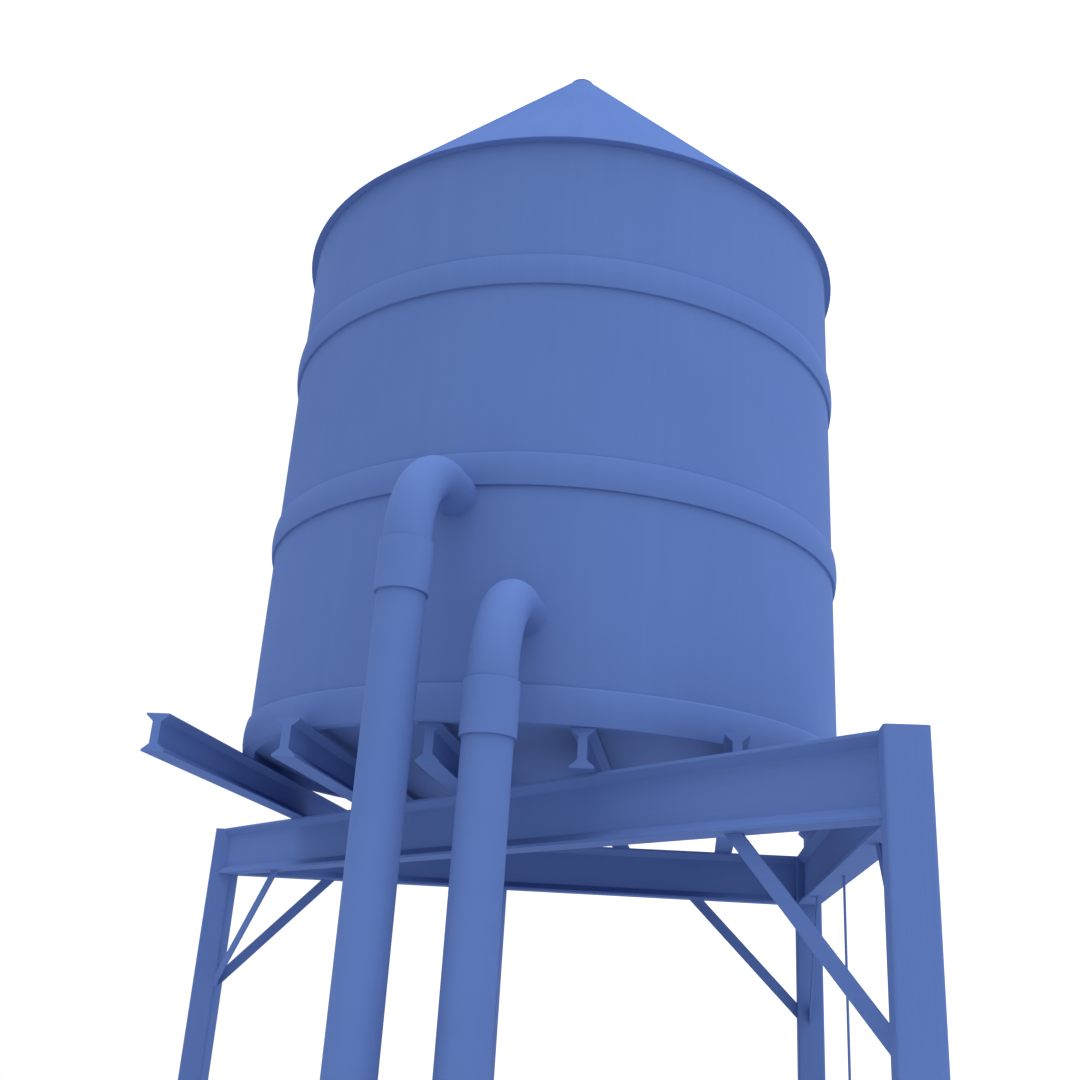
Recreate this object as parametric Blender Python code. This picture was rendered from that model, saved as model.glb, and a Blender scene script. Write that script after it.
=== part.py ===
# Water tower: a round steel tank with a steep conical roof, carried by joists on a three-sided
# frame of I-girders, four box columns and knee braces, with two elbowed filling pipes.
# Metres, +Z up, ground at Z = 0. X runs along the rear girder, Y along the joists.
import math

import bmesh
import bpy
from mathutils import Vector

# The clearance left between pieces that touch.
GAP = 0.0003

# Heights of the tower's levels above the ground.
SOFFIT_Z = 2.367
GIRDER_TOP_Z = 2.732
TANK_Z = 2.950

# The tank: radius, plate thickness and wall height.
TANK_R = 2.0
WALL_T = 0.012
FLOOR_T = 0.012
WALL_H = 3.811
WALL_PARTS = 6
FACETS = 192

# The hoops round the tank: half-oval bars, thickest at mid-height. How far they stand out at the
# crown and at the two edges, their height, and their feet above the tank's.
HOOP_OUT = 0.030
HOOP_EDGE = 0.018
HOOP_H = 0.210
CROWN_STEPS = 6
HOOP_FEET = {"bottom_hoop": 0.0, "middle_hoop": 1.381, "top_hoop": 2.736}

# The bottom hoop is an angle: its leg turns in under the wall and carries the wall and the floor.
FOOT_IN_R = 1.945
FOOT_H = 0.060

# The roof: eave plate, a cone that is cut short under its tip, and the lid on the cut.
EAVE_R = 2.049
EAVE_T = 0.004
EAVE_IN_R = 1.960
CONE_TIP_H = 6.146
CONE_T = 0.010
CAP_R = 0.105
CAP_T = 0.022
CAP_TOP_H = 6.044
CAP_SIDES = 48

# The columns: section, corner radius and the centres of their plans from the tank's axis.
COL_W = 0.192
COL_D = 0.174
COL_CORNER = 0.016
COLUMNS = {
    "front_column": (1.930, -3.164),
    "left_column": (-2.852, 1.695),
    "right_column": (1.949, 1.695),
    "middle_column": (-0.552, 1.695),
}
PLATE_W = 0.34
PLATE_D = 0.32
PLATE_T = 0.025

# The girders' section: flange width, thickness at the flange's tip and at its root, web.
GIRDER_W = 0.164
GIRDER_TIP = 0.0175
GIRDER_ROOT = 0.060
GIRDER_WEB = 0.062
SIDE_X = 1.946
REAR_Y = 1.695
# The diagonal girder's axis: its distance in front of the tank's axis, and its bearing.
DIAGONAL_OFFSET = 0.819
DIAGONAL_ANGLE = math.radians(134.88)

# The joists' section, their ends and their places across the frame.
JOIST_W = 0.136
JOIST_TIP = 0.0105
JOIST_ROOT = 0.046
JOIST_WEB = 0.051
JOIST_FRONT_Y = -1.930
JOIST_BACK_Y = 1.923
JOIST_X = (-1.934, -1.175, -0.367, 0.470, 1.286, 1.966)

# The knee braces: flat bars at 45 degrees, with the depth under the soffit at which each bar's
# middle line would meet its column's axis.
BRACE_W = 0.079
BRACE_T = 0.0115
BRACE_DROPS = {
    "front_diagonal_brace": 0.960,
    "left_diagonal_brace": 0.962,
    "left_rear_brace": 0.908,
    "right_rear_brace": 0.872,
    "front_side_brace": 0.902,
    "right_side_brace": 0.893,
}
SIDE_BRACE_X = 1.938

# How far the blocks that trim girders and braces reach under the soffit and over the girders.
TRIM_BELOW = 1.5
TRIM_ABOVE = 0.1

# The filling pipes: each stands in front of the tank and bends into it on its own bearing,
# with the height of its run into the wall and of its sleeve's ends above the tank's foot.
PIPE_R = 0.127
SLEEVE_R = 0.1415
BEND_R = 0.486
RUN_PAST_WALL = 0.12
FLANGE_R = 0.200
FLANGE_T = 0.025
PIPES = {
    "left": {"x": -0.424, "y": -2.610, "bearing": 8.1, "axis_z": 1.322, "sleeve": (0.507, 0.786)},
    "right": {"x": 0.077, "y": -2.602, "bearing": 2.7, "axis_z": 0.609, "sleeve": (-0.210, 0.071)},
}
PIPE_SIDES = 48
BEND_STEPS = 14

# The thin rod that hangs under the side girder.
ROD_R = 0.0078
ROD_X = 1.948
ROD_Y = -0.747
ROD_SIDES = 16

PAINT = (0.130, 0.210, 0.470, 1.0)

# Where the tank's axis stands, measured from the middle of the whole tower's footprint.
TANK_X = -(COLUMNS["left_column"][0] + COLUMNS["right_column"][0]) / 2
TANK_Y = -(COLUMNS["front_column"][1] - PLATE_D / 2 + EAVE_R) / 2


def start_empty():
    for ob in list(bpy.data.objects):
        bpy.data.objects.remove(ob, do_unlink=True)
    for me in list(bpy.data.meshes):
        bpy.data.meshes.remove(me)


def paint(name, roughness=0.55, metallic=0.0):
    mat = bpy.data.materials.new(name)
    mat.use_nodes = True
    shader = mat.node_tree.nodes["Principled BSDF"]
    shader.inputs["Base Color"].default_value = PAINT
    shader.inputs["Roughness"].default_value = roughness
    shader.inputs["Metallic"].default_value = metallic
    mat.diffuse_color = PAINT
    return mat


def add_object(name, bm):
    bmesh.ops.recalc_face_normals(bm, faces=bm.faces)
    mesh = bpy.data.meshes.new(name)
    bm.to_mesh(mesh)
    bm.free()
    ob = bpy.data.objects.new(name, mesh)
    bpy.context.scene.collection.objects.link(ob)
    mesh.materials.append(paint(name + "_paint"))
    return ob


def extrude_loop(bm, loop_a, loop_b):
    """Joins two equal closed loops of points into a capped prism."""
    va = [bm.verts.new(p) for p in loop_a]
    vb = [bm.verts.new(p) for p in loop_b]
    n = len(va)
    for i in range(n):
        j = (i + 1) % n
        bm.faces.new((va[i], va[j], vb[j], vb[i]))
    bm.faces.new(list(reversed(va)))
    bm.faces.new(vb)


def at_tank(x, y, z):
    """A point given from the tank's axis at ground level."""
    return Vector((TANK_X + x, TANK_Y + y, z))


def box(name, cx, cy, z0, z1, w, d, corner=0.0, steps=4):
    """An upright bar with a rectangular plan, its corners rounded if a radius is given."""
    plan = []
    if corner > 0:
        for k, (sx, sy) in enumerate(((1, 1), (-1, 1), (-1, -1), (1, -1))):
            for s in range(steps + 1):
                a = math.pi / 2 * (k + s / steps)
                plan.append((cx + sx * (w / 2 - corner) + corner * math.cos(a),
                             cy + sy * (d / 2 - corner) + corner * math.sin(a)))
    else:
        plan = [(cx + w / 2, cy + d / 2), (cx - w / 2, cy + d / 2),
                (cx - w / 2, cy - d / 2), (cx + w / 2, cy - d / 2)]
    bm = bmesh.new()
    extrude_loop(bm, [at_tank(x, y, z0) for x, y in plan], [at_tank(x, y, z1) for x, y in plan])
    return add_object(name, bm)


def i_section(width, depth, tip, root, web):
    """Half-open list of (across, up) points round an I-section with sloping inner flange faces."""
    w, s = width / 2, web / 2
    return [(-w, 0.0), (w, 0.0), (w, tip), (s, root), (s, depth - root), (w, depth - tip),
            (w, depth), (-w, depth), (-w, depth - tip), (-s, depth - root), (-s, root), (-w, tip)]


def beam(name, start, end, z0, section):
    """An I-beam between two plan points, its underside at height z0."""
    a, b = Vector((start[0], start[1], 0.0)), Vector((end[0], end[1], 0.0))
    along = (b - a).normalized()
    across = Vector((-along.y, along.x, 0.0))
    loops = []
    for p in (a, b):
        loops.append([at_tank(*(p + across * u)[:2], z0 + v) for u, v in section])
    bm = bmesh.new()
    extrude_loop(bm, loops[0], loops[1])
    return add_object(name, bm)


def turned(name, profile, start=0.0, sweep=2 * math.pi, facets=FACETS, centre=(0.0, 0.0), z0=0.0):
    """Turns a closed (radius, height) profile about an upright axis; radius 0 lies on the axis."""
    whole = abs(sweep - 2 * math.pi) < 1e-9
    rings = facets if whole else facets + 1
    bm = bmesh.new()
    rows = []
    cx, cy = centre
    for i in range(rings):
        a = start + sweep * i / facets
        rows.append([None if r == 0 else
                     bm.verts.new(at_tank(cx + r * math.cos(a), cy + r * math.sin(a), z0 + z))
                     for r, z in profile])
    poles = {k: bm.verts.new(at_tank(cx, cy, z0 + z)) for k, (r, z) in enumerate(profile) if r == 0}
    n = len(profile)
    for i in range(rings if whole else rings - 1):
        p, q = rows[i], rows[(i + 1) % rings]
        for k in range(n):
            m = (k + 1) % n
            corners = [p[k] or poles[k], q[k] or poles[k], q[m] or poles[m], p[m] or poles[m]]
            corners = list(dict.fromkeys(corners))
            if len(corners) > 2:
                bm.faces.new(corners)
    if not whole:
        bm.faces.new(rows[0])
        bm.faces.new(list(reversed(rows[-1])))
    return add_object(name, bm)


def cut(ob, cutter):
    """Subtracts a throwaway object from a piece."""
    mod = ob.modifiers.new("cut", "BOOLEAN")
    mod.operation = "DIFFERENCE"
    mod.solver = "EXACT"
    mod.object = cutter
    graph = bpy.context.evaluated_depsgraph_get()
    mesh = bpy.data.meshes.new_from_object(ob.evaluated_get(graph), depsgraph=graph)
    old = ob.data
    ob.modifiers.clear()
    ob.data = mesh
    mesh.name = ob.name
    bpy.data.meshes.remove(old)
    old = cutter.data
    bpy.data.objects.remove(cutter, do_unlink=True)
    bpy.data.meshes.remove(old)


def trim_block(cx, cy, w, d, corner=0.0):
    """A block the size of a neighbouring piece and the clearance round it."""
    return box("trim_block", cx, cy, SOFFIT_Z - TRIM_BELOW, GIRDER_TOP_Z + TRIM_ABOVE,
               w + 2 * GAP, d + 2 * GAP, corner)


def trim_at_column(ob, name):
    cx, cy = COLUMNS[name]
    cut(ob, trim_block(cx, cy, COL_W, COL_D, COL_CORNER + GAP))


def diagonal_point(x):
    """Where the diagonal girder's axis passes a given x, from the tank's axis."""
    nx, ny = -math.sin(DIAGONAL_ANGLE), math.cos(DIAGONAL_ANGLE)
    return (x, (DIAGONAL_OFFSET - nx * x) / ny)


def build_frame():
    for name, (cx, cy) in COLUMNS.items():
        top = GIRDER_TOP_Z if name != "middle_column" else SOFFIT_Z - GAP
        box(name, cx, cy, PLATE_T + GAP, top, COL_W, COL_D, COL_CORNER)
        box(name.replace("column", "base_plate"), cx, cy, 0.0, PLATE_T, PLATE_W, PLATE_D)

    section = i_section(GIRDER_W, GIRDER_TOP_Z - SOFFIT_Z, GIRDER_TIP, GIRDER_ROOT, GIRDER_WEB)
    left_face = COLUMNS["left_column"][0] + COL_W / 2 + GAP
    right_face = COLUMNS["right_column"][0] - COL_W / 2 - GAP
    front_face = COLUMNS["front_column"][1] + COL_D / 2 + GAP
    back_face = COLUMNS["right_column"][1] - COL_D / 2 - GAP
    beam("rear_girder", (left_face, REAR_Y), (right_face, REAR_Y), SOFFIT_Z, section)
    beam("side_girder", (SIDE_X, front_face), (SIDE_X, back_face), SOFFIT_Z, section)
    diagonal = beam("diagonal_girder", diagonal_point(COLUMNS["front_column"][0]),
                    diagonal_point(COLUMNS["left_column"][0]), SOFFIT_Z, section)
    trim_at_column(diagonal, "front_column")
    trim_at_column(diagonal, "left_column")
    cut(diagonal, trim_block(SIDE_X, 0.0, GIRDER_W, -2 * front_face))
    cut(diagonal, trim_block((left_face + right_face) / 2, REAR_Y, right_face - left_face, GIRDER_W))

    joist = i_section(JOIST_W, TANK_Z - GIRDER_TOP_Z - 2 * GAP, JOIST_TIP, JOIST_ROOT, JOIST_WEB)
    for i, x in enumerate(JOIST_X):
        beam(f"joist_{i + 1}", (x, JOIST_FRONT_Y), (x, JOIST_BACK_Y), GIRDER_TOP_Z + GAP, joist)


def brace(name, column, foot, inward):
    """A flat knee brace in an upright plane, from a column's face up to a girder's soffit."""
    along = Vector((inward[0], inward[1], 0.0)).normalized()
    across = Vector((-along.y, along.x, 0.0)) * (BRACE_T / 2)
    half = BRACE_W / 2 * math.sqrt(2)
    top = SOFFIT_Z - GAP
    low = SOFFIT_Z - BRACE_DROPS[name]
    outline = [(0.0, low - half), (0.0, low + half), (top - low - half, top), (top - low + half, top)]
    loops = []
    for side in (-1, 1):
        loops.append([at_tank(foot[0], foot[1], z) + along * u + across * side for u, z in outline])
    bm = bmesh.new()
    extrude_loop(bm, loops[0], loops[1])
    trim_at_column(add_object(name, bm), column)


def build_braces():
    front_y = COLUMNS["front_column"][1]
    left_x = COLUMNS["left_column"][0]
    right_x, right_y = COLUMNS["right_column"]
    slant = (math.cos(DIAGONAL_ANGLE), math.sin(DIAGONAL_ANGLE))
    brace("front_diagonal_brace", "front_column", diagonal_point(COLUMNS["front_column"][0]), slant)
    brace("left_diagonal_brace", "left_column", diagonal_point(left_x), (-slant[0], -slant[1]))
    brace("left_rear_brace", "left_column", (left_x, REAR_Y), (1, 0))
    brace("right_rear_brace", "right_column", (right_x, REAR_Y), (-1, 0))
    brace("front_side_brace", "front_column", (SIDE_BRACE_X, front_y), (0, 1))
    brace("right_side_brace", "right_column", (SIDE_BRACE_X, right_y), (0, -1))


def crown(foot, clear=0.0):
    """The outer (radius, height) points of a hoop from its foot up, with a clearance if asked."""
    points = []
    for s in range(CROWN_STEPS + 1):
        off_middle = 2 * s / CROWN_STEPS - 1
        swell = (HOOP_OUT - HOOP_EDGE) * (1 - off_middle ** 2)
        points.append((TANK_R + HOOP_EDGE + swell + clear, foot + HOOP_H * s / CROWN_STEPS))
    return points


def build_tank():
    foot = FOOT_H + GAP
    edge = TANK_R - WALL_T - GAP
    turned("tank_floor", [(0, foot), (edge, foot), (edge, foot + FLOOR_T), (0, foot + FLOOR_T)],
           z0=TANK_Z)
    per = FACETS // WALL_PARTS
    lap = GAP / TANK_R
    for i in range(WALL_PARTS):
        profile = [(TANK_R - WALL_T, foot), (TANK_R, foot),
                   (TANK_R, WALL_H), (TANK_R - WALL_T, WALL_H)]
        turned(f"tank_wall_{i + 1}", profile, start=2 * math.pi * i / WALL_PARTS,
               sweep=2 * math.pi / WALL_PARTS - lap, facets=per, z0=TANK_Z)
    inner = TANK_R + GAP
    for name, low in HOOP_FEET.items():
        inside = [(inner, low)]
        if name == "bottom_hoop":
            inside = [(inner, FOOT_H), (FOOT_IN_R, FOOT_H), (FOOT_IN_R, low)]
        turned(name, inside + crown(low) + [(inner, low + HOOP_H)], z0=TANK_Z)


def build_roof():
    eave_foot = WALL_H + GAP
    eave_top = eave_foot + EAVE_T
    turned("eave_plate", [(EAVE_IN_R, eave_foot), (EAVE_R, eave_foot), (EAVE_R, eave_top),
                          (EAVE_IN_R, eave_top)], z0=TANK_Z)
    foot = eave_top + GAP
    steepness = (CONE_TIP_H - foot) / EAVE_R
    neck_h = CAP_TOP_H - CAP_T - GAP
    neck_r = (CONE_TIP_H - neck_h) / steepness
    across = CONE_T * math.sqrt(1 + steepness ** 2) / steepness
    turned("roof_cone", [(EAVE_R - across, foot), (EAVE_R, foot), (neck_r, neck_h),
                         (neck_r - across, neck_h)], z0=TANK_Z)
    turned("roof_cap", [(0, CAP_TOP_H - CAP_T), (CAP_R, CAP_TOP_H - CAP_T), (CAP_R, CAP_TOP_H),
                        (0, CAP_TOP_H)], facets=CAP_SIDES, z0=TANK_Z)


def elbow(name, spec):
    """A quarter bend with a straight run into the tank's wall, ended on the wall and hoop."""
    x, y = spec["x"], spec["y"]
    bearing = math.radians(spec["bearing"])
    flat = Vector((math.sin(bearing), math.cos(bearing), 0.0))
    ahead = x * flat.x + y * flat.y
    run = -ahead - math.sqrt(ahead ** 2 - x ** 2 - y ** 2 + TANK_R ** 2)
    up = Vector((0, 0, 1))
    across = flat.cross(up)
    axis_z = TANK_Z + spec["axis_z"]
    foot_z = TANK_Z + spec["sleeve"][1] + GAP
    stations = [(at_tank(x, y, foot_z), up)]
    for s in range(BEND_STEPS + 1):
        a = math.pi / 2 * s / BEND_STEPS
        centre = at_tank(x, y, axis_z - BEND_R) + BEND_R * ((1 - math.cos(a)) * flat + math.sin(a) * up)
        stations.append((centre, math.cos(a) * up + math.sin(a) * flat))
    stations.append((at_tank(x, y, axis_z) + flat * (run + RUN_PAST_WALL), flat))
    bm = bmesh.new()
    rings = []
    for centre, direction in stations:
        lift = across.cross(direction)
        rings.append([bm.verts.new(centre + PIPE_R * (math.cos(t) * across + math.sin(t) * lift))
                      for t in (2 * math.pi * k / PIPE_SIDES for k in range(PIPE_SIDES))])
    for p, q in zip(rings, rings[1:]):
        for k in range(PIPE_SIDES):
            m = (k + 1) % PIPE_SIDES
            bm.faces.new((p[k], p[m], q[m], q[k]))
    bm.faces.new(rings[0])
    bm.faces.new(rings[-1])
    ob = add_object(name, bm)
    foot = HOOP_FEET["middle_hoop"] - GAP
    top = HOOP_FEET["middle_hoop"] + HOOP_H + GAP
    wall_r = TANK_R + GAP
    band = crown(HOOP_FEET["middle_hoop"], GAP)
    band[0], band[-1] = (band[0][0], foot), (band[-1][0], top)
    body = [(0, 0), (wall_r, 0), (wall_r, foot), *band, (wall_r, top), (wall_r, WALL_H), (0, WALL_H)]
    cut(ob, turned("tank_body", body, z0=TANK_Z))


def build_pipes():
    for side, spec in PIPES.items():
        centre = (spec["x"], spec["y"])
        low, high = (TANK_Z + z for z in spec["sleeve"])
        turned(f"{side}_pipe_flange", [(0, 0), (FLANGE_R, 0), (FLANGE_R, FLANGE_T), (0, FLANGE_T)],
               facets=PIPE_SIDES, centre=centre)
        turned(f"{side}_riser", [(0, FLANGE_T + GAP), (PIPE_R, FLANGE_T + GAP), (PIPE_R, low - GAP),
                                 (0, low - GAP)], facets=PIPE_SIDES, centre=centre)
        turned(f"{side}_sleeve", [(0, low), (SLEEVE_R, low), (SLEEVE_R, high), (0, high)],
               facets=PIPE_SIDES, centre=centre)
        elbow(f"{side}_elbow", spec)


def build_rod():
    turned("earth_rod", [(0, 0), (ROD_R, 0), (ROD_R, SOFFIT_Z - GAP), (0, SOFFIT_Z - GAP)],
           facets=ROD_SIDES, centre=(ROD_X, ROD_Y))


start_empty()
build_frame()
build_braces()
build_tank()
build_roof()
build_pipes()
build_rod()
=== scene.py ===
# %% [markdown]
# # A water tower in painted steel
# A round steel tank with a steep conical roof stands on six joists, three rolled girders and four
# box columns, and two wide pipes bend into its side. Everything wears the same matte blue enamel.
#
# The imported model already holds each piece's true place. This lesson dresses that frame: it makes
# a finer mesh for each piece from the frame's own corners, and then gives it its paint. All lengths
# are in metres, Z is up and the ground lies at Z = 0.

import math

import bmesh
import bpy
from mathutils import Matrix, Vector


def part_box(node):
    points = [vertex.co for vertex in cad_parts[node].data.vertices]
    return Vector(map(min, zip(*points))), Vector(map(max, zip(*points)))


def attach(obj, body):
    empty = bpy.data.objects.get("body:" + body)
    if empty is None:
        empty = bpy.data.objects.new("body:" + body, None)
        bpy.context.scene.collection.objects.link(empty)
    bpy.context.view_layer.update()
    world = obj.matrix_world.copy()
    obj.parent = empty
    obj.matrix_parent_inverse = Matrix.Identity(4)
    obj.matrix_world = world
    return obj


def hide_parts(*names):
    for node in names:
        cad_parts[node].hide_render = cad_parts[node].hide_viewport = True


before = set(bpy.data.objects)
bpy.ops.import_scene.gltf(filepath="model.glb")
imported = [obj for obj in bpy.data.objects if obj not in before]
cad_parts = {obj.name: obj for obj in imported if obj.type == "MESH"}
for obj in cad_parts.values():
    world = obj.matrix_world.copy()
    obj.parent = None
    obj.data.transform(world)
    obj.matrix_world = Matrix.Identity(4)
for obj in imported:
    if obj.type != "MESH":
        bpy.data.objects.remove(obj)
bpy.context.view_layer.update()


# %% [markdown]
# ## The camera
# The tower is seen by someone who stands close to its front column and looks up, so upright edges
# draw together towards the sky. A camera can be aimed by an empty that it tracks, but a picture
# that is matched edge by edge needs the camera's exact turn, roll and all. So the camera's three
# own directions are written down, and its matrix is put together from them.

# %% Camera
CAMERA_PLACE = Vector((1.5411, -7.5682, 1.6246))
CAMERA_RIGHT = Vector((0.990684, 0.121922, 0.060666))
CAMERA_UP = Vector((-0.013036, -0.358529, 0.933428))
CAMERA_LENS = 39.569
SENSOR_WIDTH = 36.0

camera_data = bpy.data.cameras.new("eye_height_camera")
camera_data.sensor_width = SENSOR_WIDTH
camera_data.lens = CAMERA_LENS
camera = bpy.data.objects.new("eye_height_camera", camera_data)
bpy.context.scene.collection.objects.link(camera)
camera_axes = Matrix((CAMERA_RIGHT, CAMERA_UP, CAMERA_RIGHT.cross(CAMERA_UP))).transposed()
camera.matrix_world = Matrix.Translation(CAMERA_PLACE) @ camera_axes.to_4x4()
bpy.context.scene.camera = camera
print("camera looks up by", round(math.degrees(math.asin(-camera_axes.col[2].z)), 2), "degrees")

# %% [markdown]
# ## Nodes and colours
# A Blender material is a tree of nodes. Each node here is added by one small function, which takes
# the node's options and its inputs: an input may be a plain value, or another node's output, and
# then the two are linked. Some nodes have several inputs of one name, so an input may be given by
# its number too.
#
# Paint charts give colours as sRGB, and the renderer reckons in linear light, so one function
# turns the first into the second.

# %% A node with its settings and links
def add_node(tree, kind, inputs=None, **options):
    made = tree.nodes.new(kind)
    for option, value in options.items():
        setattr(made, option, value)
    for socket, value in (inputs or {}).items():
        if isinstance(value, bpy.types.NodeSocket):
            tree.links.new(value, made.inputs[socket])
        else:
            made.inputs[socket].default_value = value
    return made


# %% From a paint chart's colour to linear light
def linear(chart_colour):
    parts = [int(chart_colour[i:i + 2], 16) / 255 for i in (1, 3, 5)]
    return (*[c / 12.92 if c <= 0.04045 else ((c + 0.055) / 1.055) ** 2.4 for c in parts], 1.0)


print("mid grey in linear light:", round(linear("#808080")[0], 3))

# %% [markdown]
# ## Light and floor
# The picture has the soft light of an overcast sky: no hard shadow anywhere, the roof brightest,
# the undersides dark, and the tank's right side a little brighter than its left. Large area lights
# could do this, but each would leave its own shadow. A sky whose brightness changes slowly does it
# with three terms. A steady part lights every side. A tilt, which follows how closely a direction
# agrees with the tower's right, brightens that side. And the cloud is thinnest straight above, so
# the last part is a broad patch overhead: the direction's height, raised to a power. It gives the
# roof its light, and leaves the walls and the undersides as they are.
#
# The floor is a plain pale disc. It is wide enough to carry the tower in every view.

# %% Soft sky
SKY_STEADY = 1.04
SKY_TILT = Vector((0.29, 0.115, 0.06))
SKY_OVERHEAD = 4.0
SKY_PATCH_POWER = 6.0

sky = bpy.data.worlds.new("overcast_studio")
sky.use_nodes = True
sky.node_tree.nodes.clear()
towards = add_node(sky.node_tree, "ShaderNodeTexCoord")
agreement = add_node(sky.node_tree, "ShaderNodeVectorMath",
                     {0: towards.outputs["Generated"], 1: SKY_TILT}, operation="DOT_PRODUCT")
around = add_node(sky.node_tree, "ShaderNodeMath",
                  {0: agreement.outputs["Value"], 1: SKY_STEADY}, operation="ADD")
height = add_node(sky.node_tree, "ShaderNodeSeparateXYZ", {"Vector": towards.outputs["Generated"]})
above = add_node(sky.node_tree, "ShaderNodeMath",
                 {0: height.outputs["Z"], 1: 0.0}, operation="MAXIMUM")
patch = add_node(sky.node_tree, "ShaderNodeMath",
                 {0: above.outputs["Value"], 1: SKY_PATCH_POWER}, operation="POWER")
brightness = add_node(sky.node_tree, "ShaderNodeMath",
                      {0: patch.outputs["Value"], 1: SKY_OVERHEAD, 2: around.outputs["Value"]},
                      operation="MULTIPLY_ADD")
sky_light = add_node(sky.node_tree, "ShaderNodeBackground",
                     {"Color": linear("#ffffff"), "Strength": brightness.outputs["Value"]})
add_node(sky.node_tree, "ShaderNodeOutputWorld", {"Surface": sky_light.outputs["Background"]})
bpy.context.scene.world = sky
bpy.context.scene.view_settings.view_transform = "Standard"
print("sky:", SKY_STEADY, "all round,", SKY_STEADY + SKY_TILT.x, "on the right and",
      round(SKY_STEADY + SKY_TILT.z + SKY_OVERHEAD, 2), "overhead")

# %% Pale floor
FLOOR_RADIUS = 12.0
FLOOR_SIDES = 128

floor_paint = bpy.data.materials.new("pale_matte_floor")
floor_paint.use_nodes = True
floor_shader = floor_paint.node_tree.nodes["Principled BSDF"]
floor_shader.inputs["Base Color"].default_value = linear("#cdcdcf")
floor_shader.inputs["Roughness"].default_value = 0.9
floor_shader.inputs["Specular IOR Level"].default_value = 0.1
floor_bm = bmesh.new()
bmesh.ops.create_circle(floor_bm, cap_ends=True, segments=FLOOR_SIDES, radius=FLOOR_RADIUS)
floor_mesh = bpy.data.meshes.new("pale_floor")
floor_bm.to_mesh(floor_mesh)
floor_bm.free()
floor_mesh.materials.append(floor_paint)
floor = bpy.data.objects.new("pale_floor", floor_mesh)
bpy.context.scene.collection.objects.link(floor)
print("floor:", 2 * FLOOR_RADIUS, "m across")

# %% [markdown]
# ## The blue enamel
# Towers like this are painted with a matte alkyd enamel over primer. On plate it is sprayed, and
# four things show when one comes near: slow clouds where the spray passes overlap, faint upright
# streaks that rain has left, the fine orange-peel skin of the droplets, and the plate's own waves.
# On rolled beams it is brushed, so the marks run along each beam, over the grainy mill scale.
# On cast fittings it lies over the grain of the sand mould.
#
# One colour and one roughness would look like plastic. So a function builds the layers that all
# the finishes share, and each finish gives it its own sizes. Patterns with a direction use the
# mesh's own map, which is laid out in metres along and across each piece. Patterns without one
# use the object's coordinates, which are metres too.

# %% The layers that all the finishes share
BLUE = {"shade": "#5069a3", "body": "#536ca6", "light": "#566fa9"}
CLOUD_SIZE = 1.1
DRIFT_SHARE = 0.6
PEEL_SIZE = 0.0025
PEEL_DEPTH = 0.00003
DULLNESS_DRIFT = 0.05
PAINT_IOR = 1.5
# Noise seldom strays far from one half, so only its middle range is spread out.
TONE_FROM, TONE_TO = 0.25, 0.75
DULL_FROM, DULL_TO = 0.3, 0.7


def enamel(name, mark_u, mark_v, relief_size, relief_depth, roughness, specular):
    """Blue enamel: the size of its marks each way of the map, and the steel's relief under it."""
    paint = bpy.data.materials.new(name)
    paint.use_nodes = True
    tree = paint.node_tree
    shader = tree.nodes["Principled BSDF"]
    place = add_node(tree, "ShaderNodeTexCoord").outputs["Object"]
    metres = add_node(tree, "ShaderNodeUVMap", uv_map="metres").outputs["UV"]
    clouds = add_node(tree, "ShaderNodeTexNoise",
                      {"Vector": place, "Scale": 1 / CLOUD_SIZE, "Detail": 3.0, "Roughness": 0.5})
    along = add_node(tree, "ShaderNodeMapping",
                     {"Vector": metres, "Scale": (1 / mark_u, 1 / mark_v, 1.0)})
    marks = add_node(tree, "ShaderNodeTexNoise",
                     {"Vector": along.outputs["Vector"], "Scale": 1.0, "Detail": 2.0,
                      "Roughness": 0.55})
    tone = add_node(tree, "ShaderNodeMix",
                    {0: DRIFT_SHARE, 2: marks.outputs["Fac"], 3: clouds.outputs["Fac"]},
                    data_type="FLOAT")
    colour = add_node(tree, "ShaderNodeValToRGB", {"Fac": tone.outputs[0]})
    stops = colour.color_ramp.elements
    stops[0].position, stops[0].color = TONE_FROM, linear(BLUE["shade"])
    stops[1].position, stops[1].color = TONE_TO, linear(BLUE["light"])
    stops.new(0.5).color = linear(BLUE["body"])
    relief = add_node(tree, "ShaderNodeTexNoise",
                      {"Vector": place, "Scale": 1 / relief_size, "Detail": 2.0, "Roughness": 0.5})
    under = add_node(tree, "ShaderNodeBump",
                     {"Height": relief.outputs["Fac"], "Distance": relief_depth, "Strength": 1.0})
    peel = add_node(tree, "ShaderNodeTexNoise",
                    {"Vector": place, "Scale": 1 / PEEL_SIZE, "Detail": 1.0, "Roughness": 0.5})
    skin = add_node(tree, "ShaderNodeBump",
                    {"Height": peel.outputs["Fac"], "Distance": PEEL_DEPTH, "Strength": 1.0,
                     "Normal": under.outputs["Normal"]})
    dullness = add_node(tree, "ShaderNodeMapRange",
                        {"Value": marks.outputs["Fac"], "From Min": DULL_FROM, "From Max": DULL_TO,
                         "To Min": roughness - DULLNESS_DRIFT,
                         "To Max": roughness + DULLNESS_DRIFT})
    tree.links.new(colour.outputs["Color"], shader.inputs["Base Color"])
    tree.links.new(dullness.outputs["Result"], shader.inputs["Roughness"])
    tree.links.new(skin.outputs["Normal"], shader.inputs["Normal"])
    shader.inputs["Specular IOR Level"].default_value = specular
    shader.inputs["IOR"].default_value = PAINT_IOR
    return paint


# %% The finishes
# Sprayed alkyd enamel on rolled plate: upright rain streaks 90 mm wide and slow plate waves.
plate_enamel = enamel("sprayed_alkyd_on_rolled_plate", 0.09, 2.4, 0.45, 0.0008, 0.72, 0.015)
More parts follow.
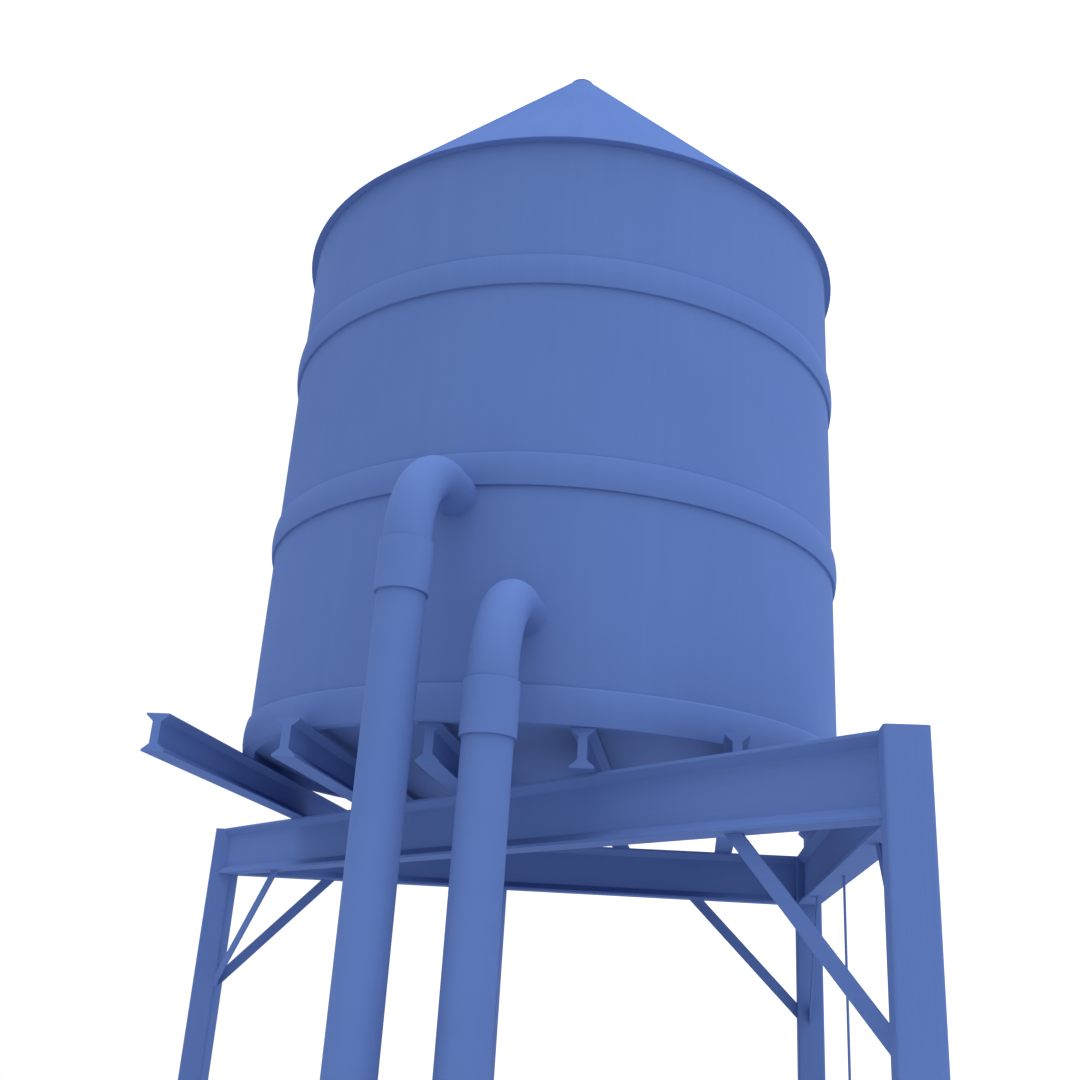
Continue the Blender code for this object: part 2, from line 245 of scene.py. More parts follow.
# Sprayed alkyd enamel on roof sheet: the sun has chalked it, so it has no shine at all.
roof_enamel = enamel("chalked_alkyd_on_roof_sheet", 0.14, 1.8, 0.35, 0.0006, 0.80, 0.0)
# Brushed alkyd enamel on hot-rolled beams: fine marks along the beam over 4 mm mill scale.
beam_enamel = enamel("brushed_alkyd_on_rolled_beams", 0.60, 0.012, 0.004, 0.00004, 0.68, 0.008)
# Sprayed alkyd enamel on cast iron: the sand mould's 3 mm grain shows through softly.
casting_enamel = enamel("sprayed_alkyd_on_cast_iron", 0.50, 0.20, 0.003, 0.00008, 0.70, 0.02)
# Alkyd enamel on weld beads: lumps of 6 mm that follow each pass of the electrode.
weld_enamel = enamel("alkyd_on_weld_beads", 0.006, 0.05, 0.006, 0.0006, 0.64, 0.04)
print("paints:", *[m.name for m in bpy.data.materials if "alkyd" in m.name])

# %% [markdown]
# ## Shapes from few strokes
# Rolled beams, box columns and flat bars are drawn through rollers: one outline that stays the
# same along a line. Blender could extrude a curve for this, but the rollers also leave rounded
# corners, and a saw cut is dressed so that its edge isn't sharp. Building the mesh in code gives
# both, and the map in metres that the brush marks follow.
#
# So the first helpers round an outline's corners and find the way inwards at each point, and the
# third one sweeps the outline from one point to another and rounds its two end edges over.

# %% Round an outline's corners
def round_corners(outline, radii, steps=3):
    """Rounds each corner of a closed flat outline; radii is one radius for each corner."""
    made = []
    for i, (corner, radius) in enumerate(zip(outline, radii)):
        here = Vector(corner)
        if radius <= 0:
            made.append(here)
            continue
        back = (Vector(outline[i - 1]) - here).normalized()
        ahead = (Vector(outline[(i + 1) % len(outline)]) - here).normalized()
        half = back.angle(ahead) / 2
        centre = here + (back + ahead).normalized() * (radius / math.sin(half))
        first = here + back * (radius / math.tan(half)) - centre
        last = here + ahead * (radius / math.tan(half)) - centre
        turn = math.atan2(first.x * last.y - first.y * last.x, first.dot(last))
        for s in range(steps + 1):
            made.append(centre + Matrix.Rotation(turn * s / steps, 2) @ first)
    return made


def rectangle(width, depth):
    w, d = width / 2, depth / 2
    return [(-w, -d), (w, -d), (w, d), (-w, d)]


test_outline = round_corners(rectangle(0.2, 0.1), [0.01] * 4)
print("a rounded rectangle has", len(test_outline), "points")


# %% The way inwards at each point of an outline
def ways_in(outline):
    area = sum(a.x * b.y - a.y * b.x for a, b in zip(outline, outline[1:] + outline[:1]))
    side = 1 if area > 0 else -1
    ways = []
    for i, here in enumerate(outline):
        before = (here - outline[i - 1]).normalized()
        after = (outline[(i + 1) % len(outline)] - here).normalized()
        n1, n2 = Vector((-before.y, before.x)) * side, Vector((-after.y, after.x)) * side
        ways.append((n1 + n2) / (1 + n1.dot(n2)))
    return ways


# %% Sweep an outline from one point to another
END_STEPS = 2


def empty_shape():
    bm = bmesh.new()
    bm.loops.layers.uv.new("metres")
    return bm


def lay_map(bm, face, corners):
    """Writes a face's places on the map in metres."""
    metres = bm.loops.layers.uv["metres"]
    for loop, place in zip(face.loops, corners):
        loop[metres].uv = place


def skin_rings(bm, rings, lengths, girths):
    """Joins rings of points with four-sided faces; lengths and girths place them on the map."""
    count = len(rings[0])
    for r in range(len(rings) - 1):
        for i in range(count):
            j = (i + 1) % count
            face = bm.faces.new((rings[r][i], rings[r][j], rings[r + 1][j], rings[r + 1][i]))
            lay_map(bm, face, ((lengths[r], girths[i]), (lengths[r], girths[i + 1]),
                               (lengths[r + 1], girths[i + 1]), (lengths[r + 1], girths[i])))


def sweep(bm, outline, start, end, across, up, rounding=0.0):
    """Runs a closed (across, up) outline from start to end, with its end edges rounded over."""
    start, end, across, up = Vector(start), Vector(end), Vector(across), Vector(up)
    outline = [Vector(p) for p in outline]
    length = (end - start).length
    ahead = (end - start) / length
    if rounding > 0:
        bends = [math.pi / 2 * s / END_STEPS for s in range(END_STEPS + 1)]
        near = [(rounding * (1 - math.cos(a)), rounding * (1 - math.sin(a))) for a in bends]
    else:
        near = [(0.0, 0.0)]
    stations = near + [(length - along, inset) for along, inset in reversed(near)]
    ways = ways_in(outline)
    girths = [0.0]
    for a, b in zip(outline, outline[1:] + outline[:1]):
        girths.append(girths[-1] + (b - a).length)
    rings = []
    for along, inset in stations:
        flat = [p + w * inset for p, w in zip(outline, ways)]
        rings.append([bm.verts.new(start + ahead * along + across * p.x + up * p.y) for p in flat])
    skin_rings(bm, rings, [along for along, _ in stations], girths)
    for ring in (rings[0], rings[-1]):
        lay_map(bm, bm.faces.new(ring), outline)


# %% [markdown]
# Tanks, hoops, lids and pipes are round, and the plate rolls and the lathe make them by turning.
# So the next helper spins a profile about an upright axis. The last one lays a round tube along
# any path: a bent pipe, or a bead of weld along a seam. A six-sided spin is a nut.

# %% Spin a profile about an upright axis
TANK_SIDES = 256
PIPE_SIDES = 64
BOLT_SIDES = 20


def spin(bm, profile, centre, foot, sides, turn=0.0):
    """Turns a closed (radius, height) profile about an upright axis; radius 0 lies on the axis."""
    widest = max(r for r, _ in profile)
    heights = [0.0]
    for (r1, z1), (r2, z2) in zip(profile, profile[1:] + profile[:1]):
        heights.append(heights[-1] + math.hypot(r2 - r1, z2 - z1))

    def point(r, z, a):
        return bm.verts.new((centre[0] + r * math.cos(a), centre[1] + r * math.sin(a), foot + z))

    poles = {k: point(0, z, 0) for k, (r, z) in enumerate(profile) if r == 0}
    rows = []
    for i in range(sides):
        a = turn + 2 * math.pi * i / sides
        rows.append([poles.get(k) or point(r, z, a) for k, (r, z) in enumerate(profile)])
    for i in range(sides):
        here, after = rows[i], rows[(i + 1) % sides]
        u1, u2 = (2 * math.pi * widest * s / sides for s in (i, i + 1))
        for k in range(len(profile)):
            m = (k + 1) % len(profile)
            corners = {here[k]: (u1, heights[k]), after[k]: (u2, heights[k]),
                       after[m]: (u2, heights[k + 1]), here[m]: (u1, heights[k + 1])}
            if len(corners) > 2:
                lay_map(bm, bm.faces.new(list(corners)), list(corners.values()))


# %% Lay a round tube along a path
def tube(bm, path, radius, sides, closed=False):
    """A round tube along points: closed on itself, or capped at its two ends."""
    points = [Vector(p) for p in path]
    count = len(points)
    side_way = None
    rings, lengths = [], [0.0]
    for i, here in enumerate(points):
        before = points[i - 1] if closed or i > 0 else here
        after = points[(i + 1) % count] if closed or i < count - 1 else here
        ahead = (after - before).normalized()
        side_way = (ahead.orthogonal() if side_way is None
                    else side_way - ahead * side_way.dot(ahead))
        side_way.normalize()
        up_way = ahead.cross(side_way)
        ring = []
        for k in range(sides):
            a = 2 * math.pi * k / sides
            out_way = side_way * math.cos(a) + up_way * math.sin(a)
            ring.append(bm.verts.new(here + out_way * radius))
        rings.append(ring)
        lengths.append(lengths[-1] + (points[(i + 1) % count] - here).length)
    girths = [2 * math.pi * radius * k / sides for k in range(sides + 1)]
    if closed:
        skin_rings(bm, rings + rings[:1], lengths, girths)
        return
    skin_rings(bm, rings, lengths, girths)
    for ring in (rings[0], rings[-1]):
        lay_map(bm, bm.faces.new(ring), [(0.0, g) for g in girths])


# %% [markdown]
# A beam that meets a column is sawn to fit it. A boolean modifier does the same: it takes one
# closed shape away from another. It is applied at once, so that only the sawn mesh is kept.
#
# The last helper finishes a piece. It shades the rounded corners smoothly, keeps true corners
# sharp, and lets each large flat face keep its own even shading, which a weighted-normal modifier
# does. Then it hides the frame's nodes that the piece stands for and hangs it on the root.

# %% Saw a piece to fit its neighbour
def saw(bm, blade):
    """Takes a closed shape away from another, and gives back what is left."""
    things = []
    for shape in (bm, blade):
        mesh = bpy.data.meshes.new("sawing")
        shape.to_mesh(mesh)
        shape.free()
        things.append(bpy.data.objects.new("sawing", mesh))
        bpy.context.scene.collection.objects.link(things[-1])
    cut = things[0].modifiers.new("cut", "BOOLEAN")
    cut.operation, cut.solver, cut.object = "DIFFERENCE", "EXACT", things[1]
    left = bmesh.new()
    left.from_object(things[0], bpy.context.evaluated_depsgraph_get())
    for thing in things:
        mesh = thing.data
        bpy.data.objects.remove(thing)
        bpy.data.meshes.remove(mesh)
    return left


# %% Finish a piece
SHARP_FROM = math.radians(35)


def finish_piece(name, bm, paint, slot, *nodes):
    bmesh.ops.recalc_face_normals(bm, faces=bm.faces)
    mesh = bpy.data.meshes.new(name)
    bm.to_mesh(mesh)
    bm.free()
    mesh.polygons.foreach_set("use_smooth", [True] * len(mesh.polygons))
    mesh.set_sharp_from_angle(angle=SHARP_FROM)
    mesh.materials.append(paint)
    thing = bpy.data.objects.new(name, mesh)
    bpy.context.scene.collection.objects.link(thing)
    even = thing.modifiers.new("even_faces", "WEIGHTED_NORMAL")
    even.keep_sharp = True
    if nodes:
        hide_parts(*nodes)
    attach(thing, "root")


def middle_of(node):
    low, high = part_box(node)
    return (low + high) / 2


def size_of(node):
    low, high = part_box(node)
    return high - low


print("the tank's floor is", round(size_of("tank_floor").x, 3), "m across")

# %% [markdown]
# ## Columns and feet
# The four legs are rolled box sections, welded to foot plates that anchor bolts hold down. A cube
# with a bevel would do for a picture from afar. Here the section's 16 mm corners are rounded in
# the outline, and each bead of weld round the column's foot is a thin tube half sunk in the seam.

# %% Columns and foot plates
COLUMN_CORNER = 0.016
COLUMN_CORNER_STEPS = 5
SAW_EDGE = 0.0015
PLATE_EDGE = 0.003
PLATE_CORNER = 0.008
WELD_R = 0.005
WELD_SIDES = 8
X_WAY, Y_WAY, UP = Vector((1, 0, 0)), Vector((0, 1, 0)), Vector((0, 0, 1))
COLUMNS = ("front", "left", "right", "middle")


def column_outline(name, grown=0.0):
    size = size_of(name)
    grown_box = rectangle(size.x + 2 * grown, size.y + 2 * grown)
    return round_corners(grown_box, [COLUMN_CORNER + grown] * 4, COLUMN_CORNER_STEPS)


def sweep_upright(bm, outline, centre, low_z, high_z, rounding=0.0):
    """Runs an outline straight up, from one height to another."""
    foot, head = (centre.x, centre.y, low_z), (centre.x, centre.y, high_z)
    sweep(bm, outline, foot, head, X_WAY, Y_WAY, rounding)


for side in COLUMNS:
    column, plate = f"{side}_column", f"{side}_base_plate"
    centre, (low, high) = middle_of(column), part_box(column)
    bm = empty_shape()
    sweep_upright(bm, column_outline(column), centre, low.z, high.z, SAW_EDGE)
    finish_piece(f"{side}_column_section", bm, beam_enamel, "frame_paint", column)
    low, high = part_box(plate)
    outline = round_corners(rectangle(high.x - low.x, high.y - low.y), [PLATE_CORNER] * 4)
    bm = empty_shape()
    sweep_upright(bm, outline, centre, low.z, high.z, PLATE_EDGE)
    finish_piece(f"{side}_foot_plate", bm, plate_enamel, "frame_paint", plate)
    seam = [(centre.x + p.x, centre.y + p.y, high.z) for p in column_outline(column)]
    bm = empty_shape()
    tube(bm, seam, WELD_R, WELD_SIDES, closed=True)
    finish_piece(f"{side}_foot_weld", bm, weld_enamel, "frame_paint")
print("columns:", len(COLUMNS), "each", round(size_of("front_column").x * 1000), "mm wide")

# %% [markdown]
# Each foot has four M20 anchor bolts: a washer, a nut and the end of the bolt. A nut is a
# six-sided spin with its top corners turned off, as on a real one.

# %% Anchor bolts
WASHER = [(0, 0), (0.0185, 0), (0.0185, 0.0025), (0.018, 0.003), (0, 0.003)]
NUT = [(0, 0.003), (0.0160, 0.003), (0.0173, 0.0045), (0.0173, 0.0165), (0.0155, 0.019), (0, 0.019)]
BOLT_END = [(0, 0.019), (0.0100, 0.019), (0.0100, 0.029), (0.0085, 0.031), (0, 0.031)]
NUT_SIDES = 6
BOLT_INSET = 0.037
FIRST_NUT_TURN = 0.35


def bolt(bm, x, y, foot, turn):
    spin(bm, WASHER, (x, y), foot, BOLT_SIDES)
    spin(bm, NUT, (x, y), foot, NUT_SIDES, turn)
    spin(bm, BOLT_END, (x, y), foot, BOLT_SIDES)


for side in COLUMNS:
    low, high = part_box(f"{side}_base_plate")
    bm = empty_shape()
    left, right, near, far = (low.x + BOLT_INSET, high.x - BOLT_INSET,
                              low.y + BOLT_INSET, high.y - BOLT_INSET)
    for k, (x, y) in enumerate(((left, near), (right, near), (right, far), (left, far))):
        bolt(bm, x, y, high.z, FIRST_NUT_TURN + k)
    finish_piece(f"{side}_anchor_bolts", bm, beam_enamel, "frame_paint")
print("anchor bolts:", 4 * len(COLUMNS))

# %% [markdown]
# ## Girders
# The three girders are hot-rolled I-beams of an older pattern, whose flanges are thick at the web
# and thin at the tips. The outline has twelve corners. The rollers round the roots and the tips,
# which is what catches a thin line of light along a real beam, so those corners get their own
# radii. The girder across the front runs at an angle, and is sawn to fit the columns and the two
# other girders.

# %% Rolled I-beam outline
GIRDER_TIP, GIRDER_ROOT, GIRDER_WEB = 0.0175, 0.060, 0.062
JOIST_TIP, JOIST_ROOT, JOIST_WEB = 0.0105, 0.046, 0.051
OUTER_R, TOE_R, ROOT_R = 0.002, 0.004, 0.007


def beam_outline(width, depth, tip, root, web):
    """The (across, up) outline of a rolled beam with tapered flanges, standing on its foot."""
    w, s = width / 2, web / 2
    corners = [(-w, 0.0), (w, 0.0), (w, tip), (s, root),
               (s, depth - root), (w, depth - tip), (w, depth), (-w, depth),
               (-w, depth - tip), (-s, depth - root), (-s, root), (-w, tip)]
    return round_corners(corners, [OUTER_R, OUTER_R, TOE_R, ROOT_R, ROOT_R, TOE_R] * 2)


girder_size = size_of("rear_girder")
girder_outline = beam_outline(girder_size.y, girder_size.z, GIRDER_TIP, GIRDER_ROOT, GIRDER_WEB)
print("a girder's outline has", len(girder_outline), "points")

# %% Rear and side girder
rear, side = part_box("rear_girder"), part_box("side_girder")
rear_mid, side_mid = middle_of("rear_girder"), middle_of("side_girder")
soffit, girder_top = rear[0].z, rear[1].z
bm = empty_shape()
sweep(bm, girder_outline, (rear[0].x, rear_mid.y, soffit), (rear[1].x, rear_mid.y, soffit),
      Y_WAY, UP)
finish_piece("rear_girder_beam", bm, beam_enamel, "frame_paint", "rear_girder")
bm = empty_shape()
sweep(bm, girder_outline, (side_mid.x, side[0].y, soffit), (side_mid.x, side[1].y, soffit),
      X_WAY, UP)
finish_piece("side_girder_beam", bm, beam_enamel, "frame_paint", "side_girder")
print("girders:", round(girder_size.z * 1000), "by", round(girder_size.y * 1000), "mm")

# %% Diagonal girder
DIAGONAL_ANGLE = math.radians(134.88)
DIAGONAL_OFFSET = 0.819
SAW_GAP = 0.0003
SAW_BELOW, SAW_ABOVE = 1.5, 0.1

tank_mid = middle_of("tank_floor")
front_mid, left_mid = middle_of("front_column"), middle_of("left_column")
slant = Vector((math.cos(DIAGONAL_ANGLE), math.sin(DIAGONAL_ANGLE), 0.0))
slant_side = Vector((-slant.y, slant.x, 0.0))


def on_diagonal(x, z):
    """The point of the diagonal girder's middle line at a given x."""
    y = tank_mid.y + (DIAGONAL_OFFSET - slant_side.x * (x - tank_mid.x)) / slant_side.y
    return Vector((x, y, z))


def upright_blade(outline, centre):
    """A tall closed shape that a piece is sawn with."""
    blade = empty_shape()
    sweep_upright(blade, outline, centre, soffit - SAW_BELOW, girder_top + SAW_ABOVE)
    return blade


bm = empty_shape()
sweep(bm, girder_outline, on_diagonal(front_mid.x, soffit), on_diagonal(left_mid.x, soffit),
      slant_side, UP)
for column in ("front_column", "left_column"):
    bm = saw(bm, upright_blade(column_outline(column, SAW_GAP), middle_of(column)))
for beam in ("side_girder", "rear_girder"):
    size = size_of(beam)
    cleared = rectangle(size.x + 2 * SAW_GAP, size.y + 2 * SAW_GAP)
    bm = saw(bm, upright_blade(cleared, middle_of(beam)))
finish_piece("diagonal_girder_beam", bm, beam_enamel, "frame_paint", "diagonal_girder")
print("diagonal girder runs at", round(math.degrees(DIAGONAL_ANGLE), 1), "degrees")

# %% [markdown]
# ## Joists
# Six lighter beams of the same pattern lie across the frame and carry the tank's floor. Their sawn
# ends stand free in front, where the whole outline shows, so the end edges are rounded over.

# %% Joists
joist_names = [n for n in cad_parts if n.startswith("joist_")]
for name in sorted(joist_names):
    low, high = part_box(name)
    outline = beam_outline(high.x - low.x, high.z - low.z, JOIST_TIP, JOIST_ROOT, JOIST_WEB)
    bm = empty_shape()
    x = (low.x + high.x) / 2
    sweep(bm, outline, (x, low.y, low.z), (x, high.y, low.z), X_WAY, UP, SAW_EDGE)
    finish_piece(f"{name}_beam", bm, beam_enamel, "frame_paint", name)
print("joists:", len(joist_names), "of", round(high.y - low.y, 2), "m long")

# %% [markdown]
# ## Knee braces
# Flat bars at 45 degrees stiffen the corners between columns and girders. Each is a bar whose
# upper end is sawn level under the girder and whose lower end is sawn upright against the column.
# Its outline is drawn as seen from the side, and swept through the bar's own thickness.

# %% Knee braces
BRACE_W, BRACE_T, BRACE_EDGE = 0.079, 0.0115, 0.0012
SIDE_BRACE_OUT = 1.938
side_brace_x = tank_mid.x + SIDE_BRACE_OUT
right_mid = middle_of("right_column")
# For each brace: its column, its place on the column's axis, the way it leans, and the depth
# under the girders at which its middle line would meet that axis.
BRACES = {
    "front_diagonal_brace": ("front_column", on_diagonal(front_mid.x, 0), slant, 0.960),
    "left_diagonal_brace": ("left_column", on_diagonal(left_mid.x, 0), -slant, 0.962),
    "left_rear_brace": ("left_column", Vector((left_mid.x, rear_mid.y, 0)), X_WAY, 0.908),
    "right_rear_brace": ("right_column", Vector((right_mid.x, rear_mid.y, 0)), -X_WAY, 0.872),
    "front_side_brace": ("front_column", Vector((side_brace_x, front_mid.y, 0)), Y_WAY, 0.902),
    "right_side_brace": ("right_column", Vector((side_brace_x, right_mid.y, 0)), -Y_WAY, 0.893),
}

for name, (column, foot, lean, drop) in BRACES.items():
    half = BRACE_W / 2 * math.sqrt(2)
    top = soffit - SAW_GAP
    low = soffit - drop
    reach = top - low
    outline = [(0.0, low - half), (0.0, low + half), (reach - half, top), (reach + half, top)]
    through = Vector((-lean.y, lean.x, 0.0)) * (BRACE_T / 2)
    bm = empty_shape()
    sweep(bm, outline, foot - through, foot + through, lean, UP, BRACE_EDGE)
    bm = saw(bm, upright_blade(column_outline(column, SAW_GAP), middle_of(column)))
    finish_piece(f"{name}_bar", bm, beam_enamel, "frame_paint", name)
print("braces:", len(BRACES))

# %% [markdown]
# ## The tank
# The tank is rolled from plate: a floor, a wall and three hoops that stiffen it. Each is a profile
# spun about the tank's axis. With 256 sides the wall's outline shows no corners.
#
# The hoops are half-oval bars. A flat band would be evenly bright, but in the picture each hoop is
# light along its top and darkens towards its foot, because its face leans back above its middle
# and forward below it. A parabola gives that swell: 12 mm over the hoop's 210 mm. The bar's top
# edge is rounder than its foot.
#
# The bottom hoop has a foot too. Its level leg turns in under the wall and lifts the floor off
# the joists, so from below there is a dark gap over each joist. That gap needs no shading trick.

# %% Floor and wall
WALL_T, WALL_EDGE = 0.012, 0.001


def rounded_profile(corners, radii):
    return [tuple(p) for p in round_corners(corners, radii)]


def tank_ring(bm, inner, outer, low, high, radii):
    corners = [(inner, low), (outer, low), (outer, high), (inner, high)]
    spin(bm, rounded_profile(corners, radii), tank_mid, 0.0, TANK_SIDES)


low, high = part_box("tank_floor")
floor_r = (high.x - low.x) / 2
bm = empty_shape()
spin(bm, [(0, low.z), (floor_r, low.z), (floor_r, high.z), (0, high.z)], tank_mid, 0.0, TANK_SIDES)
finish_piece("tank_floor_plate", bm, plate_enamel, "tank_paint", "tank_floor")

wall_nodes = sorted(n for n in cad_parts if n.startswith("tank_wall_"))
low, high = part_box(wall_nodes[0])
tank_r = floor_r + SAW_GAP + WALL_T
bm = empty_shape()
tank_ring(bm, tank_r - WALL_T, tank_r, low.z, high.z, [WALL_EDGE] * 4)
finish_piece("tank_shell", bm, plate_enamel, "tank_paint", *wall_nodes)
print("tank:", round(2 * tank_r, 2), "m across, with", len(wall_nodes), "wall plates as one shell")

# %% Half-oval hoops
HOOP_EDGE, HOOP_FOOT_R, HOOP_TOP_R = 0.018, 0.004, 0.012
CROWN_STEPS = 16
FOOT_IN_R, FOOT_H = 1.945, 0.060


def crown_radius(name, z):
    """How far from the tank's axis a hoop's swelling face lies at a height."""
    low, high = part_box(name)
    off_middle = (2 * z - low.z - high.z) / (high.z - low.z)
    edge_r, crown_r = tank_r + HOOP_EDGE, (high.x - low.x) / 2
    return edge_r + (crown_r - edge_r) * (1 - off_middle ** 2)


def crown(name, clear=0.0):
    """The (radius, height) points of a hoop's face, from its foot up."""
    low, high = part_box(name)
    heights = [low.z + (high.z - low.z) * s / CROWN_STEPS for s in range(CROWN_STEPS + 1)]
    return [(crown_radius(name, z) + clear, z) for z in heights]


for name in ("bottom_hoop", "middle_hoop", "top_hoop"):
    low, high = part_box(name)
    inner = tank_r + SAW_GAP
    inside = [(inner, low.z)]
    if name == "bottom_hoop":
        inside = [(inner, low.z + FOOT_H), (FOOT_IN_R, low.z + FOOT_H), (FOOT_IN_R, low.z)]
    corners = inside + crown(name) + [(inner, high.z)]
    rounding = [0] * len(corners)
    rounding[len(inside)], rounding[-2] = HOOP_FOOT_R, HOOP_TOP_R
    bm = empty_shape()
    spin(bm, rounded_profile(corners, rounding), tank_mid, 0.0, TANK_SIDES)
    finish_piece(f"{name}_band", bm, plate_enamel, "tank_paint", name)
swell = crown_radius(name, (low.z + high.z) / 2) - tank_r
print("hoops swell from", round(1000 * HOOP_EDGE), "to", round(1000 * swell), "mm")

# %% [markdown]
# ## The roof
# A ring of thin flat plate closes the wall's top and stands out as a small eave. The cone is
# rolled sheet, cut short under its tip, and a round lid covers the hole. From below, the dark
# underside of the eave is all that parts the roof from the wall.

# %% Eave, cone and lid
EAVE_IN_R = 1.960
CONE_TIP_Z = 9.096
CONE_T = 0.010
EAVE_EDGE = 0.0012
LID_EDGE, LID_FOOT_EDGE = 0.010, 0.002


def disc(bm, r, low_z, high_z, centre, sides, edges):
    """A solid disc or bar, with its lower and upper edge rounded over."""
    corners = [(0, low_z), (r, low_z), (r, high_z), (0, high_z)]
    spin(bm, rounded_profile(corners, [0, *edges, 0]), centre, 0.0, sides)


low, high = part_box("eave_plate")
bm = empty_shape()
eave_r = (high.x - low.x) / 2
tank_ring(bm, EAVE_IN_R, eave_r, low.z, high.z, [0, EAVE_EDGE, EAVE_EDGE, 0])
finish_piece("eave_ring", bm, roof_enamel, "roof_paint", "eave_plate")

low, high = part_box("roof_cone")
steepness = (CONE_TIP_Z - low.z) / eave_r
neck_r = (CONE_TIP_Z - high.z) / steepness
across = CONE_T * math.sqrt(1 + steepness ** 2) / steepness
profile = [(eave_r - across, low.z), (eave_r, low.z), (neck_r, high.z), (neck_r - across, high.z)]
bm = empty_shape()
spin(bm, profile, tank_mid, 0.0, TANK_SIDES)
finish_piece("roof_cone_sheet", bm, roof_enamel, "roof_paint", "roof_cone")

low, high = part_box("roof_cap")
bm = empty_shape()
disc(bm, (high.x - low.x) / 2, low.z, high.z, tank_mid, PIPE_SIDES, (LID_FOOT_EDGE, LID_EDGE))
finish_piece("roof_lid", bm, roof_enamel, "roof_paint", "roof_cap")
print("roof: slope of", round(math.degrees(math.atan(steepness)), 1), "degrees")

# %% [markdown]
# ## The filling pipes
# Two cast-iron pipes stand in front of the tank. Each rises from a bolted flange, passes a sleeve
# that couples it to its bend, and turns into the tank's wall on a bearing of its own. The bend is
# a tube along a quarter circle, and its far end is sawn off with the tank's own round shape, so
# that it meets wall and hoop without a gap. A bead of nickel weld, which cast iron needs, runs
# round the joint.

# %% Flanges, risers and sleeves
PIPES = {
    "left": {"bearing": math.radians(8.1), "axis_z": 4.272},
    "right": {"bearing": math.radians(2.7), "axis_z": 3.559},
}
RIM_EDGE = 0.003
FLANGE_EDGE = 0.002
FLANGE_BOLTS = 12
FLANGE_BOLT_R = 0.175

for side in PIPES:
    axis = middle_of(f"{side}_riser")
    for part, edge in (("pipe_flange", FLANGE_EDGE), ("riser", 0.0), ("sleeve", RIM_EDGE)):
        low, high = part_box(f"{side}_{part}")
        bm = empty_shape()
        disc(bm, (high.x - low.x) / 2, low.z, high.z, axis, PIPE_SIDES, (edge, edge))
        finish_piece(f"{side}_{part}_turned", bm, casting_enamel, "pipe_paint", f"{side}_{part}")
    low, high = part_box(f"{side}_pipe_flange")
    bm = empty_shape()
    for k in range(FLANGE_BOLTS):
        a = 2 * math.pi * (k + 0.5) / FLANGE_BOLTS
        x, y = axis.x + FLANGE_BOLT_R * math.cos(a), axis.y + FLANGE_BOLT_R * math.sin(a)
        bolt(bm, x, y, high.z, a)
    finish_piece(f"{side}_flange_bolts", bm, beam_enamel, "pipe_paint")
    pipe_mm = round(size_of(f"{side}_riser").x * 1000)
    print(side, "pipe:", pipe_mm, "mm across with", FLANGE_BOLTS, "bolts")

# %% Bends into the tank
BEND_R = 0.486
BEND_STEPS = 28
RUN_PAST_WALL = 0.12
SEAM_STEPS = 96
pipe_r = size_of("left_riser").x / 2


def tank_radius_at(z):
    """The radius of what the pipe meets at a height: the hoop, or the bare wall."""
    low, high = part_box("middle_hoop")
    return crown_radius("middle_hoop", z) if low.z <= z <= high.z else tank_r


def run_to_wall(point, flat, radius):
    """How far a level line from a point goes until it meets the tank."""
    away = (point - tank_mid).xy
    ahead = away.dot(flat.xy)
    return -ahead - math.sqrt(ahead ** 2 - away.length_squared + radius ** 2)


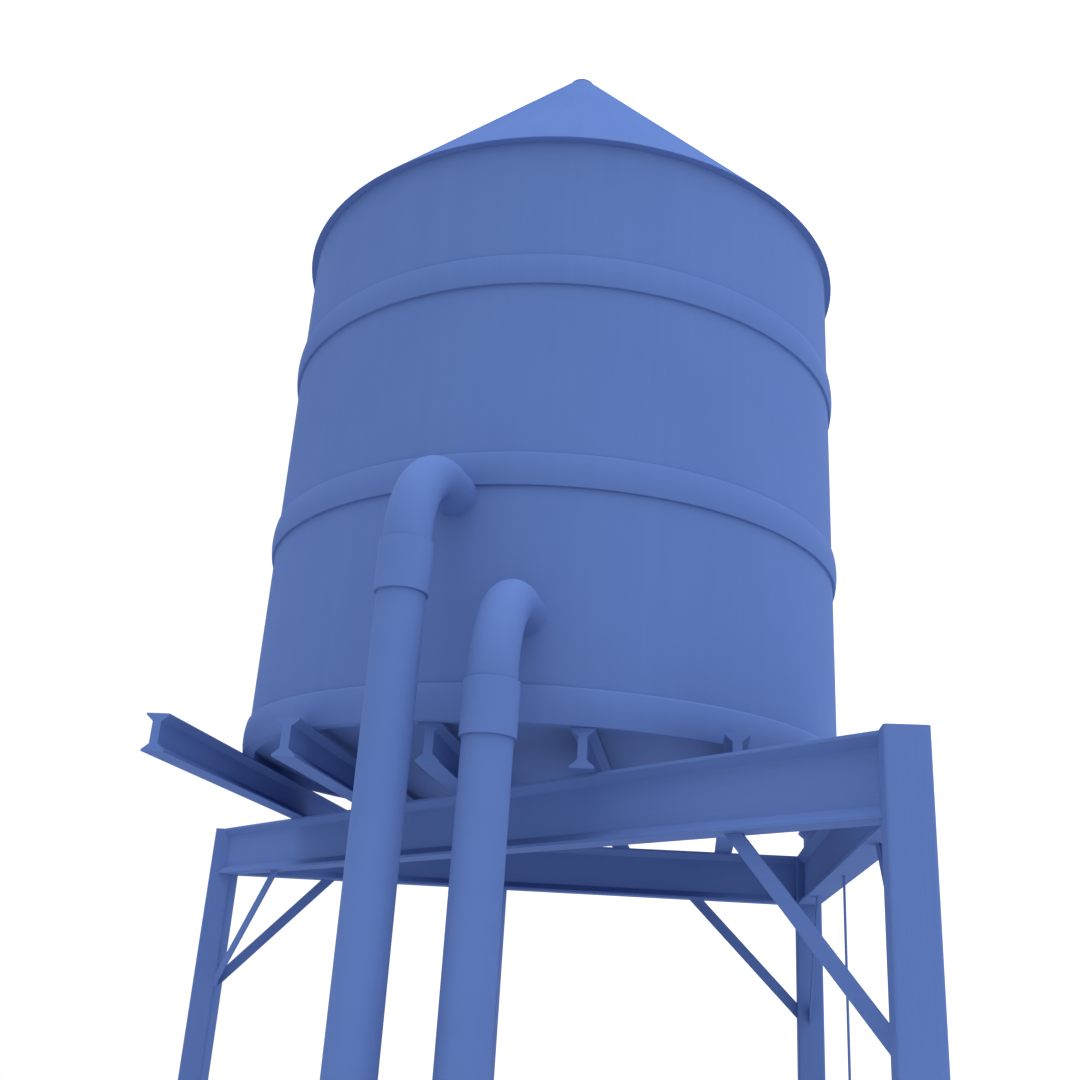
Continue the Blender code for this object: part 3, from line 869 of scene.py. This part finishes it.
def tank_blade():
    """The tank's own body with its middle hoop, and the clearance round them."""
    foot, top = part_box("bottom_hoop")[0].z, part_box("eave_plate")[0].z
    wall = tank_r + SAW_GAP
    band = crown("middle_hoop", SAW_GAP)
    below, above = band[0][1] - SAW_GAP, band[-1][1] + SAW_GAP
    band[0], band[-1] = (band[0][0], below), (band[-1][0], above)
    outside = [(wall, foot), (wall, below), *band, (wall, above), (wall, top)]
    blade = empty_shape()
    spin(blade, [(0, foot), *outside, (0, top)], tank_mid, 0.0, TANK_SIDES)
    return blade


for side, spec in PIPES.items():
    axis, foot = middle_of(f"{side}_riser"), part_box(f"{side}_elbow")[0].z
    flat = Vector((math.sin(spec["bearing"]), math.cos(spec["bearing"]), 0.0))
    path = [Vector((axis.x, axis.y, foot))]
    bend_foot = Vector((axis.x, axis.y, spec["axis_z"] - BEND_R))
    for s in range(BEND_STEPS + 1):
        a = math.pi / 2 * s / BEND_STEPS
        path.append(bend_foot + BEND_R * ((1 - math.cos(a)) * flat + math.sin(a) * UP))
    top = Vector((axis.x, axis.y, spec["axis_z"]))
    path.append(top + flat * (run_to_wall(top, flat, tank_r) + RUN_PAST_WALL))
    bm = empty_shape()
    tube(bm, path, pipe_r, PIPE_SIDES)
    bm = saw(bm, tank_blade())
    finish_piece(f"{side}_elbow_bend", bm, casting_enamel, "pipe_paint", f"{side}_elbow")
    seam = []
    for k in range(SEAM_STEPS):
        a = 2 * math.pi * k / SEAM_STEPS
        start = top + pipe_r * (math.cos(a) * flat.cross(UP) + math.sin(a) * UP)
        seam.append(start + flat * run_to_wall(start, flat, tank_radius_at(start.z)))
    bm = empty_shape()
    tube(bm, seam, WELD_R, WELD_SIDES, closed=True)
    finish_piece(f"{side}_elbow_weld", bm, weld_enamel, "pipe_paint")
    print(side, "bend meets the wall", round(seam[0].z - tank_mid.z, 3), "m above the floor")

# %% [markdown]
# ## The earth rod
# A thin rod hangs from the side girder down to the ground. It is a spin, about 16 mm across.

# %% Earth rod
ROD_SIDES = 24
ROD_EDGE = 0.001

low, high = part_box("earth_rod")
rod_r = (high.x - low.x) / 2
bm = empty_shape()
disc(bm, rod_r, low.z, high.z, middle_of("earth_rod"), ROD_SIDES, (ROD_EDGE, ROD_EDGE))
finish_piece("earth_rod_round_bar", bm, beam_enamel, "frame_paint", "earth_rod")
print("rod:", round(2000 * rod_r, 1), "mm thick")
